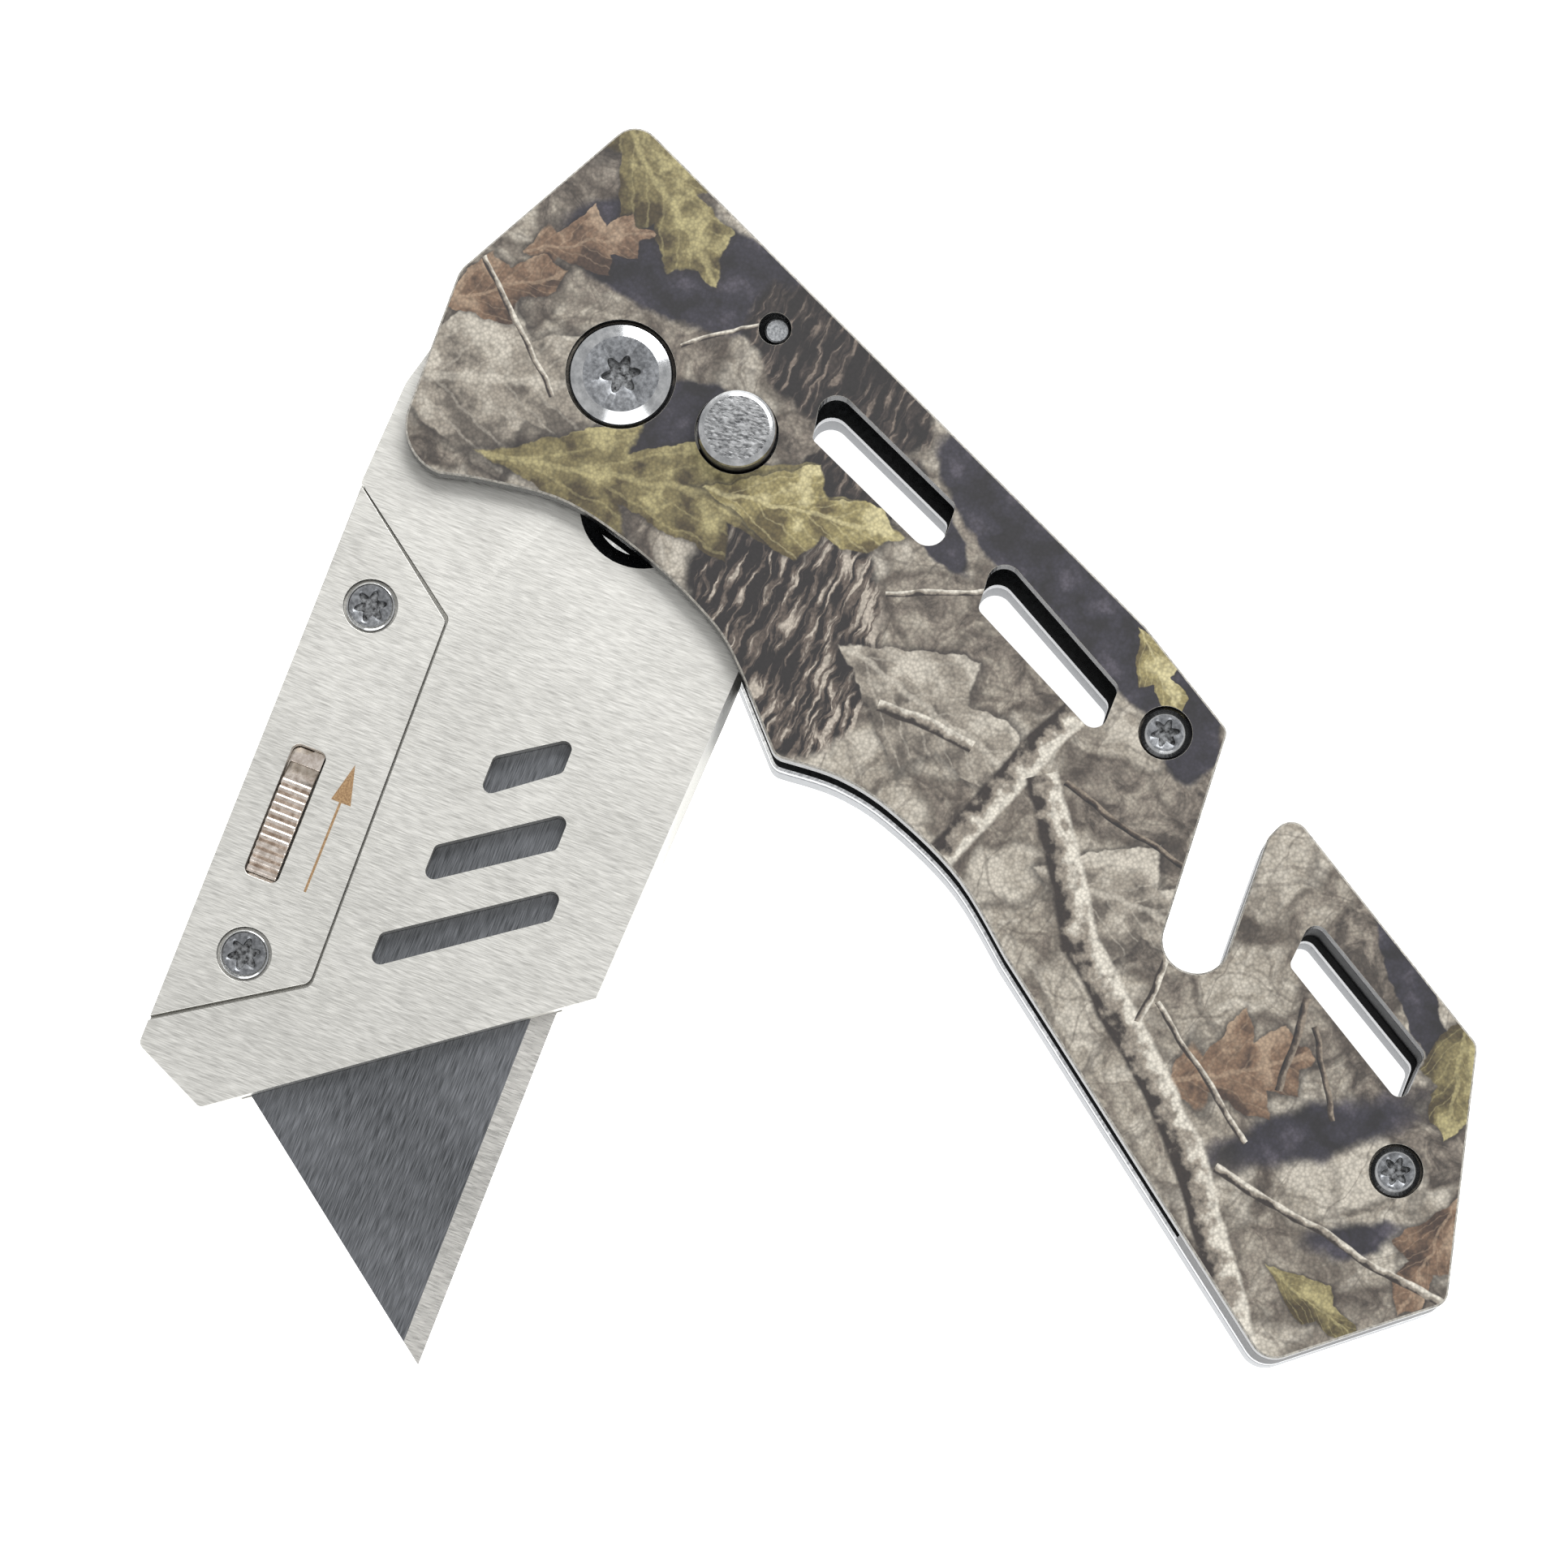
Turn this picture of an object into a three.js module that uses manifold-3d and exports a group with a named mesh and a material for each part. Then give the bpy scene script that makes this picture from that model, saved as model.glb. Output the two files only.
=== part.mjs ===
// Folding utility knife with a quick-change blade carrier, a plunge lock and a slotted handle.
// Units are millimetres. The knife lies on its back: +Z is out of the printed front face,
// +X runs along the handle from the pivot to the butt, and +Y points to the spine.
// The origin is the pivot's axis at the back face. The carrier stands half open.

import * as THREE from 'three';
import { mergeVertices } from 'three/addons/utils/BufferGeometryUtils.js';
import Module from 'manifold-3d';

const wasm = await Module();
wasm.setup();

// ---------------------------------------------------------------- driving dimensions

const DEG = Math.PI / 180;
const SEAT_GAP = 0.05;

// Handle layers, back to front.
const BACK_SCALE_TOP = 3.75;
const LINER_BOTTOM = 3.8;
const LINER_TOP = 5.2;
const FRONT_BOTTOM = 10.0;
const THICKNESS = 12.0;
const RECESS_FLOOR = 10.85;

// Carrier layers and where it stands.
const CARRIER_BOTTOM = 5.6;
const CARRIER_TOP = 9.6;
const REST_ANGLE = -59.2 * DEG;
const CLOSED_ANGLE = -6.2 * DEG;
const OPEN_ANGLE = -179.2 * DEG;

// Pivot.
const SHANK_R = 2.5;
const HEAD_R = 3.85;
const HEAD_RECESS_R = 4.1;
const PIVOT_THREAD_R = 1.5;
const WASHER_R = 4.4;

// Lock button.
const BUTTON = { x: 8.71, y: 4.05 };
const BUTTON_R = 2.9;
const BUTTON_NECK_R = 1.5;
const BUTTON_TOP = 14.2;
const BUTTON_CAP_BOTTOM = 11.15;
const LOCK_DISC_R = 3.45;
const LOCK_DISC_BOTTOM = 3.2;
const LOCK_DISC_TOP = 5.3;
const LOCK_BORE_R = 3.7;
const LOCK_BORE_FLOOR = 0.85;
const LOCK_POCKET_R = 3.6;
const LOCK_POCKET_MOUTH_R = 4.7;
const LOCK_POCKET_CHAMFER = 1.2;
const TANG_R = 7.8;
const CHANNEL_INNER_R = 7.85;
const CHANNEL_OUTER_R = 11.35;

// Stop pin.
const STOP_PIN = { x: 4.38, y: 11.25 };
const STOP_PIN_R = 1.0;
const STOP_PIN_HOLE = { x: 4.3, y: 11.08, r: 1.22 };

// Handle screws.
const BODY_SCREWS = {
  upper: { x: 45.66, y: 15.15 },
  butt: { x: 81.31, y: 8.41 }
};
const SMALL_HEAD_R = 1.8;
const BODY_THREAD_R = 1.0;

// Blade and the space it slides into.
const BLADE_Z = [7.28, 7.91];
const BLADE_BEVEL = 1.6;
const CAVITY_Z = [7.15, 8.05];
const CAVITY_V = [-6.6, 12.95];
const BLADE_CORNERS = [[12.2, 12.65], [26.4, -6.35], [59.0, -6.35], [73.2, 12.65]];
const BLADE_NOTCH = { centres: [37.7, 47.7], width: 3.2, depth: 2.0 };

// Cover plate and the release under it.
const COVER_Z = [8.45, 9.6];
const COVER_SEAT = 8.4;
const POCKET = { u: [26.6, 46.6], v: [-13.6, -6.55], floor: 6.4 };
const COVER_SCREWS = {
  upper: { u: 22.49, v: -11.06 },
  lower: { u: 49.87, v: -10.2 }
};
const SLIDER_WINDOW = { u: [33.9, 44.3], v: [-12.55, -9.9] };
const SLIDER_PAD = { u: [35.2, 44.1], v: [-12.4, -10.05], crown: 9.95 };
const SLIDER_RIBS = 12;
const LATCH_PIVOT = { u: 29.0, v: -8.6 };
const LATCH_PIN_R = 0.8;
const LATCH_Z = [7.25, 7.95];

// ---------------------------------------------------------------- materials

function metal(color, roughness) {
  return new THREE.MeshStandardMaterial({ color, roughness, metalness: 1 });
}

function nonMetal(color, roughness) {
  return new THREE.MeshStandardMaterial({ color, roughness, metalness: 0 });
}

const MATERIALS = {
  printedScale: nonMetal(0x8a8270, 0.5),
  blackPlastic: nonMetal(0x1d1e20, 0.55),
  linerSteel: metal(0x5a5c5e, 0.35),
  backScale: metal(0x8f9092, 0.45),
  brushedSteel: metal(0xc9c8c3, 0.38),
  screwSteel: metal(0xa9aaab, 0.25),
  bladeSteel: metal(0x6a7076, 0.32),
  nickel: metal(0xd8cdc2, 0.2),
  springSteel: metal(0x9a9c9e, 0.3),
  bronze: metal(0xa9824e, 0.4)
};

// ---------------------------------------------------------------- outlines

// A closed outline. Items are corners [x, y, radius] or smooth runs { through: [[x, y], ...] }.
function outline(items) {
  const count = items.length;
  const firstOf = (item) => new THREE.Vector2(...(item.through ? item.through[0] : item));
  const lastOf = (item) => new THREE.Vector2(...(item.through ? item.through.at(-1) : item));
  const shape = new THREE.Shape();
  items.forEach((item, i) => {
    const start = firstOf(item);
    const radius = item.through ? 0 : item[2] ?? 0;
    if (radius === 0) {
      if (i === 0) shape.moveTo(start.x, start.y);
      else shape.lineTo(start.x, start.y);
      if (item.through) {
        shape.splineThru(item.through.slice(1).map(([x, y]) => new THREE.Vector2(x, y)));
      }
      return;
    }
    const toBefore = lastOf(items[(i + count - 1) % count]).sub(start).normalize();
    const toAfter = firstOf(items[(i + 1) % count]).sub(start).normalize();
    const half = Math.acos(toBefore.dot(toAfter)) / 2;
    const inward = toBefore.clone().add(toAfter).normalize();
    const centre = start.clone().addScaledVector(inward, radius / Math.sin(half));
    const reach = radius / Math.tan(half);
    const from = start.clone().addScaledVector(toBefore, reach).sub(centre).angle();
    const to = start.clone().addScaledVector(toAfter, reach).sub(centre).angle();
    shape.absarc(centre.x, centre.y, radius, from, to, toBefore.cross(toAfter) > 0);
  });
  shape.closePath();
  return shape;
}

function ringSector(inner, outer, from, to) {
  const shape = new THREE.Shape();
  shape.absarc(0, 0, outer, from, to, false);
  shape.absarc(0, 0, inner, to, from, true);
  shape.closePath();
  return shape;
}

// The six-lobed socket of a star screw.
function star(x, y, tipR) {
  const steps = 36;
  const points = [];
  for (let i = 0; i < steps; i += 1) {
    const angle = (i / steps) * 2 * Math.PI;
    const radius = tipR * (0.79 + 0.21 * Math.cos(6 * angle));
    points.push(new THREE.Vector2(x + radius * Math.cos(angle), y + radius * Math.sin(angle)));
  }
  return new THREE.Shape(points);
}

// ---------------------------------------------------------------- solids

// The outline as a plain polygon, without the doubled points where its curves meet.
function polygon(shape, segments) {
  const points = shape.getPoints(segments);
  const next = (i) => points[(i + 1) % points.length];
  return new THREE.Shape(points.filter((point, i) => point.distanceTo(next(i)) > 0.02));
}

function slab(shape, z0, z1, segments = 5) {
  const options = { depth: z1 - z0, bevelEnabled: false };
  return new THREE.ExtrudeGeometry(polygon(shape, segments), options).translate(0, 0, z0);
}

// A slab with its edges bevelled on both faces.
function bevelledSlab(shape, z0, z1, bevel) {
  const options = {
    depth: z1 - z0 - 2 * bevel,
    bevelThickness: bevel,
    bevelSize: bevel,
    bevelOffset: -bevel,
    bevelSegments: 1
  };
  return new THREE.ExtrudeGeometry(polygon(shape, 5), options).translate(0, 0, z0 + bevel);
}

function cone(x, y, bottomR, topR, z0, z1, segments = 48) {
  const geometry = new THREE.CylinderGeometry(topR, bottomR, z1 - z0, segments);
  return geometry.rotateX(Math.PI / 2).translate(x, y, (z0 + z1) / 2);
}

function rod(x, y, radius, z0, z1, segments = 48) {
  return cone(x, y, radius, radius, z0, z1, segments);
}

// A turned piece. The profile is [radius, z] points, from the axis round to the axis.
function turned(x, y, profile, segments = 48) {
  const points = profile.map(([radius, z]) => new THREE.Vector2(radius, z));
  return new THREE.LatheGeometry(points, segments).rotateX(Math.PI / 2).translate(x, y, 0);
}

function block(u, v, z) {
  const geometry = new THREE.BoxGeometry(u[1] - u[0], v[1] - v[0], z[1] - z[0]);
  return geometry.translate((u[0] + u[1]) / 2, (v[0] + v[1]) / 2, (z[0] + z[1]) / 2);
}

function solid(geometry) {
  const bare = geometry.clone();
  bare.deleteAttribute('normal');
  bare.deleteAttribute('uv');
  const merged = mergeVertices(bare, 1e-4);
  const vertProperties = new Float32Array(merged.attributes.position.array);
  const triVerts = new Uint32Array(merged.index.array);
  const made = new wasm.Manifold(new wasm.Mesh({ numProp: 3, vertProperties, triVerts }));
  if (made.volume() <= 0) throw new Error('a solid is inside out');
  return made;
}

function toGeometry(made) {
  const mesh = made.getMesh();
  const geometry = new THREE.BufferGeometry();
  geometry.setAttribute('position', new THREE.BufferAttribute(mesh.vertProperties, 3));
  geometry.setIndex(new THREE.BufferAttribute(mesh.triVerts, 1));
  geometry.computeVertexNormals();
  return geometry;
}

function cut(base, ...cutters) {
  return toGeometry(cutters.reduce((body, cutter) => body.subtract(solid(cutter)), solid(base)));
}

function join(base, ...others) {
  return toGeometry(others.reduce((body, other) => body.add(solid(other)), solid(base)));
}

function overlap(a, b) {
  return toGeometry(solid(a).intersect(solid(b)));
}

function piece(group, name, geometry, material) {
  const mesh = new THREE.Mesh(geometry, material);
  mesh.name = name;
  group.add(mesh);
}

// ---------------------------------------------------------------- handle

const HANDLE_OUTLINE = outline([
  [-14.5, 12.75, 2.0],
  [-13.5, -4.6, 2.5],
  [-5.64, -17.08, 3.85],
  { through: [[-2.4, -15.15], [0.22, -12.66], [5.23, -8.98], [12.24, -6.87], [19, -6.07], [22.8, -6.64]] },
  [29.39, -8.54, 1.2],
  { through: [[29.95, -8.16], [33.58, -5.74], [37.94, -4.25], [44.63, -3.45], [51.5, -4.35]] },
  [86.4, -7.9, 2.0],
  [91.15, 5.35, 1.2],
  [77.75, 18.9, 1.2],
  [56.0, 18.9, 1.35],
  [56.35, 16.3, 0.8],
  [62.4, 6.75, 2.35],
  [58.36, 4.1, 2.35],
  [48.35, 18.9, 1.0],
  [38.6, 18.9, 4.0]
]);

// Slot corners: low at the pivot end, low at the butt end, then back along the spine side.
const SLOTS = [
  [[12.5, 8.15, 0.5], [25.3, 9.75, 1.4], [22.9, 13.5, 0.6], [9.4, 11.8, 1.4]],
  [[30.0, 9.95, 0.6], [43.0, 11.0, 1.0], [40.9, 14.6, 0.7], [27.2, 13.95, 1.3]],
  [[64.7, 11.65, 0.6], [77.9, 11.7, 0.8], [75.9, 15.5, 0.7], [62.9, 15.35, 0.9]]
];
const BACK_SLOT_INSET = 0.5;

function slotCutters(spineInset) {
  return SLOTS.map((slot) => {
    const corners = slot.map(([x, y, r], i) => [x, i > 1 ? y - spineInset : y, r]);
    return slab(outline(corners), -1, THICKNESS + 1);
  });
}

function frontScale() {
  const low = FRONT_BOTTOM - 1;
  const high = THICKNESS + 1;
  const plate = bevelledSlab(HANDLE_OUTLINE, FRONT_BOTTOM, THICKNESS, 0.15);
  const screwCutters = Object.values(BODY_SCREWS).flatMap(({ x, y }) => [
    rod(x, y, SMALL_HEAD_R + 0.2, RECESS_FLOOR, high, 36),
    rod(x, y, BODY_THREAD_R + 0.15, low, high, 16)
  ]);
  return cut(
    plate,
    ...slotCutters(0),
    ...screwCutters,
    rod(0, 0, HEAD_RECESS_R, RECESS_FLOOR, high),
    rod(0, 0, SHANK_R + 0.1, low, high),
    rod(BUTTON.x, BUTTON.y, BUTTON_R + 0.2, low, high),
    rod(STOP_PIN_HOLE.x, STOP_PIN_HOLE.y, STOP_PIN_HOLE.r, low, high, 36)
  );
}

function backLiner() {
  const low = LINER_BOTTOM - 1;
  const high = LINER_TOP + 1;
  const screwCutters = Object.values(BODY_SCREWS).map(({ x, y }) => {
    return rod(x, y, BODY_THREAD_R + 0.15, low, high, 16);
  });
  return cut(
    bevelledSlab(HANDLE_OUTLINE, LINER_BOTTOM, LINER_TOP, 0.2),
    ...slotCutters(BACK_SLOT_INSET),
    ...screwCutters,
    rod(0, 0, SHANK_R + 0.1, low, high),
    rod(BUTTON.x, BUTTON.y, LOCK_BORE_R, low, high),
    rod(STOP_PIN.x, STOP_PIN.y, STOP_PIN_R + 0.05, low, high, 24)
  );
}

function backScale() {
  const high = BACK_SCALE_TOP + 1;
  const screwCutters = Object.values(BODY_SCREWS).map(({ x, y }) => {
    return rod(x, y, BODY_THREAD_R + SEAT_GAP, 0.9, high, 16);
  });
  return cut(
    bevelledSlab(HANDLE_OUTLINE, 0, BACK_SCALE_TOP, 0.3),
    ...slotCutters(BACK_SLOT_INSET),
    ...screwCutters,
    rod(0, 0, HEAD_RECESS_R, -1, 1.05),
    rod(0, 0, SHANK_R + 0.1, -1, high),
    rod(BUTTON.x, BUTTON.y, LOCK_BORE_R, LOCK_BORE_FLOOR, high),
    rod(STOP_PIN.x, STOP_PIN.y, STOP_PIN_R + 0.05, 0.95, high, 24)
  );
}

const SPINE_SPACER_REGION = outline([
  [9.8, 14.1],
  [19.5, 14.95],
  [27.5, 14.95],
  [40.6, 15.3],
  [42.4, 12.4],
  [43.3, 11.2],
  [54.5, 11.2],
  [49.8, 21.0],
  [9.8, 21.0]
]);

// The butt spacer stays clear of the blade's point, which sweeps a 74.3 mm circle.
const BUTT_SPACER_REGION = outline([
  [59.5, 9.0],
  [62.5, 7.7],
  [75.6, 6.4],
  [75.75, 0],
  [74.9, -10.0],
  [95.0, -10.0],
  [95.0, 21.0],
  [52.3, 21.0]
]);

function spacer(region, screw) {
  const z0 = LINER_TOP + SEAT_GAP;
  const z1 = FRONT_BOTTOM - SEAT_GAP;
  const blank = overlap(slab(HANDLE_OUTLINE, z0, z1), slab(region, z0 - 1, z1 + 1));
  const hole = rod(screw.x, screw.y, BODY_THREAD_R + 0.15, z0 - 1, z1 + 1, 16);
  return cut(blank, hole, ...slotCutters(0));
}

function pivotBarrel() {
  const bore = PIVOT_THREAD_R + SEAT_GAP;
  return turned(0, 0, [
    [0, 0],
    [HEAD_R - 0.3, 0],
    [HEAD_R, 0.3],
    [HEAD_R, 1.0],
    [SHANK_R, 1.0],
    [SHANK_R, 10.4],
    [bore, 10.4],
    [bore, 2.5],
    [0, 2.5]
  ]);
}

function starScrew(x, y, { shankR, bottom, under, headR, top, edge, socketR, socketDepth }) {
  const body = turned(x, y, [
    [0, bottom],
    [shankR, bottom],
    [shankR, under],
    [headR, under],
    [headR, top - edge],
    [headR - edge, top],
    [0, top]
  ], 24);
  return cut(body, slab(star(x, y, socketR), top - socketDepth, top + 1));
}

function pivotScrew() {
  const size = { shankR: PIVOT_THREAD_R, bottom: 3.0, under: 10.9, headR: HEAD_R, top: 12.1 };
  return starScrew(0, 0, { ...size, edge: 0.45, socketR: 1.45, socketDepth: 0.9 });
}

function bodyScrew({ x, y }) {
  const size = { shankR: BODY_THREAD_R, bottom: 1.0, under: 10.9, headR: SMALL_HEAD_R, top: 11.95 };
  return starScrew(x, y, { ...size, edge: 0.3, socketR: 1.05, socketDepth: 0.7 });
}

function washer(z0, z1) {
  return cut(rod(0, 0, WASHER_R, z0, z1), rod(0, 0, SHANK_R + 0.1, z0 - 1, z1 + 1));
}

function stopPin() {
  return turned(STOP_PIN.x, STOP_PIN.y, [
    [0, 1.0],
    [STOP_PIN_R, 1.0],
    [STOP_PIN_R, 10.85],
    [STOP_PIN_R - 0.15, 11.0],
    [0, 11.0]
  ], 24);
}

function lockButton() {
  return turned(BUTTON.x, BUTTON.y, [
    [0, LOCK_DISC_BOTTOM],
    [LOCK_DISC_R, LOCK_DISC_BOTTOM],
    [LOCK_DISC_R, LOCK_DISC_TOP],
    [BUTTON_NECK_R, LOCK_DISC_TOP],
    [BUTTON_NECK_R, BUTTON_CAP_BOTTOM],
    [BUTTON_R, BUTTON_CAP_BOTTOM],
    [BUTTON_R, BUTTON_TOP - 0.35],
    [BUTTON_R - 0.35, BUTTON_TOP],
    [0, BUTTON_TOP]
  ]);
}

// A coil whose radius may change along its length, so that its turns can nest.
class Coil extends THREE.Curve {
  constructor(startR, endR, length, turns) {
    super();
    Object.assign(this, { startR, endR, length, turns });
  }

  getPoint(t) {
    const angle = t * this.turns * 2 * Math.PI;
    const radius = this.startR + (this.endR - this.startR) * t;
    return new THREE.Vector3(radius * Math.cos(angle), radius * Math.sin(angle), t * this.length);
  }
}

function coilSpring(startR, endR, wireR, length, turns) {
  const wire = outline([[wireR, 0], [0, wireR], [-wireR, 0], [0, -wireR]]);
  const path = new Coil(startR, endR, length - 2 * wireR, turns);
  const spring = new THREE.ExtrudeGeometry(wire, { steps: turns * 14, extrudePath: path });
  return spring.translate(0, 0, wireR);
}

function buttonSpring() {
  const floor = LOCK_BORE_FLOOR + SEAT_GAP;
  const length = LOCK_DISC_BOTTOM - SEAT_GAP - floor;
  return coilSpring(3.2, 1.7, 0.2, length, 3).translate(BUTTON.x, BUTTON.y, floor);
}

// ---------------------------------------------------------------- carrier
// The carrier's own frame: u from the pivot to the blade's point, v toward the cutting edge.

const SIDE_SLOPE = 0.4;

const CARRIER_OUTLINE = outline([
  [-3.5, -12.4, 0.4],
  [3.05, -14.01, 4.0],
  [5.98, -14.78, 4.0],
  [14.0, -15.1],
  [58.84, -14.95, 0.6],
  [61.54, -9.08, 0.5],
  [43.25, 15.05 + SIDE_SLOPE, 0.8],
  [17.6, 16.0 + SIDE_SLOPE, 3.0],
  [11.5, 14.9, 3.0],
  [4.2, 13.2, 0.5],
  [4.2, 0],
  [-3.5, 0]
]);

// Windows: two corners at the spine end, then two at the edge end.
const WINDOWS = [
  [[29.6, 1.5], [32.9, 1.5], [28.9, 6.7], [26.1, 6.7]],
  [[37.3, -0.1], [40.3, -0.1], [34.4, 8.35], [31.4, 8.35]],
  [[44.8, -1.45], [47.6, -1.45], [39.4, 9.9], [36.8, 9.9]]
];

function buttonSeat(carrierAngle) {
  const radius = Math.hypot(BUTTON.x, BUTTON.y);
  const angle = Math.atan2(BUTTON.y, BUTTON.x) - carrierAngle;
  return { u: radius * Math.cos(angle), v: radius * Math.sin(angle), angle };
}

// The cutter that leans the edge-side wall outward toward the back.
function sideWallCutter() {
  const lean = Math.atan(SIDE_SLOPE / (CARRIER_TOP - CARRIER_BOTTOM));
  const cutter = block([-12, 34], [0, 6], [-8, 8]).rotateX(lean);
  const along = Math.atan2(15.05 - 16.0, 43.25 - 17.6);
  return cutter.rotateZ(along).translate(17.6, 16.0, CARRIER_TOP);
}

function bladeCarrier() {
  const low = CARRIER_BOTTOM - 1;
  const high = CARRIER_TOP + 1;
  const closed = buttonSeat(CLOSED_ANGLE);
  const open = buttonSeat(OPEN_ANGLE);
  const channel = ringSector(CHANNEL_INNER_R, CHANNEL_OUTER_R, closed.angle, 72 * DEG);
  const cavity = outline([
    [11.66, CAVITY_V[1]],
    [26.27, CAVITY_V[0]],
    [80, CAVITY_V[0]],
    [80, CAVITY_V[1]]
  ]);
  const coverSeat = outline([[13.5, -16], [57.6, -16], [50.35, -4.73, 0.9], [21.25, -5.3, 0.6]]);
  const chamferBottom = CARRIER_TOP - LOCK_POCKET_CHAMFER;
  const windows = WINDOWS.map((corners) => {
    const rounded = corners.map(([u, v]) => [u, v, 0.6]);
    return slab(outline(rounded), CAVITY_Z[1] - 0.1, high);
  });
  const screwBores = Object.values(COVER_SCREWS).map(({ u, v }) => rod(u, v, 0.95, 6.2, high, 16));
  const blank = join(
    slab(CARRIER_OUTLINE, CARRIER_BOTTOM, CARRIER_TOP),
    rod(0, 0, TANG_R, CARRIER_BOTTOM, CARRIER_TOP, 64)
  );
  return cut(
    blank,
    sideWallCutter(),
    slab(channel, low, high, 8),
    rod(0, 0, SHANK_R + 0.05, low, high),
    rod(closed.u, closed.v, LOCK_POCKET_R, low, high),
    cone(closed.u, closed.v, LOCK_POCKET_R, LOCK_POCKET_MOUTH_R, chamferBottom, CARRIER_TOP + 0.01),
    rod(open.u, open.v, LOCK_POCKET_R, low, high),
    slab(cavity, ...CAVITY_Z),
    slab(coverSeat, COVER_SEAT, high),
    block(POCKET.u, POCKET.v, [POCKET.floor, high - 1.5]),
    rod(LATCH_PIVOT.u, LATCH_PIVOT.v, LATCH_PIN_R + 0.03, 5.9, high - 1.5, 20),
    ...windows,
    ...screwBores
  );
}

function coverPlate() {
  const face = outline([[14.4, -14.95], [56.6, -14.95], [50.1, -4.92, 0.9], [21.55, -5.48, 0.6]]);
  const [u0, u1] = SLIDER_WINDOW.u;
  const [v0, v1] = SLIDER_WINDOW.v;
  const window = outline([[u0, v0, 0.6], [u1, v0, 0.6], [u1, v1, 0.6], [u0, v1, 0.6]]);
  const screwCutters = Object.values(COVER_SCREWS).flatMap(({ u, v }) => [
    rod(u, v, SMALL_HEAD_R + 0.22, 8.7, 11, 36),
    rod(u, v, 1.0, 8, 11, 16)
  ]);
  return cut(slab(face, ...COVER_Z), slab(window, 8, 11), ...screwCutters);
}

function coverScrew({ u, v }) {
  const size = { shankR: 0.9, bottom: 6.4, under: 8.75, headR: SMALL_HEAD_R, top: 9.57 };
  return starScrew(u, v, { ...size, edge: 0.2, socketR: 1.2, socketDepth: 0.5 });
}

function utilityBlade() {
  const [z0, z1] = BLADE_Z;
  const middle = (z0 + z1) / 2;
  const edge = BLADE_CORNERS[0][1];
  const back = BLADE_CORNERS[1][1];
  const section = new THREE.Shape();
  section.moveTo(back - 1, z0);
  section.lineTo(edge - BLADE_BEVEL, z0);
  section.lineTo(edge, middle - 0.02);
  section.lineTo(edge, middle + 0.02);
  section.lineTo(edge - BLADE_BEVEL, z1);
  section.lineTo(back - 1, z1);
  section.closePath();
  const bar = new THREE.ExtrudeGeometry(section, { depth: 70, bevelEnabled: false });
  bar.rotateX(Math.PI / 2).rotateZ(Math.PI / 2).translate(5, 0, 0);
  const blank = overlap(bar, slab(outline(BLADE_CORNERS), z0 - 1, z1 + 1));
  const notches = BLADE_NOTCH.centres.map((u) => {
    const half = BLADE_NOTCH.width / 2;
    const floor = back + BLADE_NOTCH.depth;
    const [left, right] = [u - half, u + half];
    const corners = [[left, back - 1], [right, back - 1], [right, floor, 0.5], [left, floor, 0.5]];
    return slab(outline(corners), z0 - 1, z1 + 1);
  });
  return cut(blank, ...notches);
}

// The ribbed thumb pad is its side view (u, height) pushed across the slider.
function sliderPad() {
  const [start, end] = SLIDER_PAD.u;
  const rampEnd = start + 1.3;
  const pitch = (end - rampEnd) / SLIDER_RIBS;
  const crown = (u) => SLIDER_PAD.crown - 0.25 * ((2 * (u - rampEnd)) / (end - rampEnd) - 1) ** 2;
  const side = new THREE.Shape();
  side.moveTo(start, 8.0);
  side.lineTo(start, 8.7);
  for (let i = 0; i < SLIDER_RIBS; i += 1) {
    const u = rampEnd + i * pitch;
    side.lineTo(u, crown(u) - 0.18);
    side.lineTo(u + pitch * 0.3, crown(u + pitch * 0.3));
    side.lineTo(u + pitch * 0.7, crown(u + pitch * 0.7));
  }
  side.lineTo(end, crown(end) - 0.18);
  side.lineTo(end, 8.0);
  side.closePath();
  const [v0, v1] = SLIDER_PAD.v;
  const pad = new THREE.ExtrudeGeometry(side, { depth: v1 - v0, bevelEnabled: false });
  return pad.rotateX(Math.PI / 2).translate(0, v1, 0);
}

function releaseSlider() {
  return join(block([33.0, 46.3], [-13.4, -10.05], [6.6, 8.2]), sliderPad());
}

function bladeLatch() {
  const [z0, z1] = LATCH_Z;
  const arm = outline([
    [29.0, -9.6],
    [38.9, -7.7, 0.3],
    [38.9, -6.7, 0.2],
    [38.4, -6.7],
    [38.4, -4.85, 0.3],
    [37.0, -4.85, 0.3],
    [37.0, -6.7],
    [29.0, -7.0]
  ]);
  const whole = join(slab(arm, z0, z1), rod(LATCH_PIVOT.u, LATCH_PIVOT.v, 1.7, z0, z1, 24));
  return cut(whole, rod(LATCH_PIVOT.u, LATCH_PIVOT.v, LATCH_PIN_R + 0.06, z0 - 1, z1 + 1, 20));
}

function latchPin() {
  return rod(LATCH_PIVOT.u, LATCH_PIVOT.v, LATCH_PIN_R, 5.95, COVER_SEAT, 20);
}

// The coil is drawn at the length it has with the slider pushed home.
function sliderSpring() {
  const spring = coilSpring(0.6, 0.6, 0.14, 5.0, 7);
  return spring.rotateY(Math.PI / 2).translate(26.65, -11.8, 7.4);
}

// ---------------------------------------------------------------- assembly

const knife = new THREE.Group();
knife.name = 'folding_utility_knife';

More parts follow.
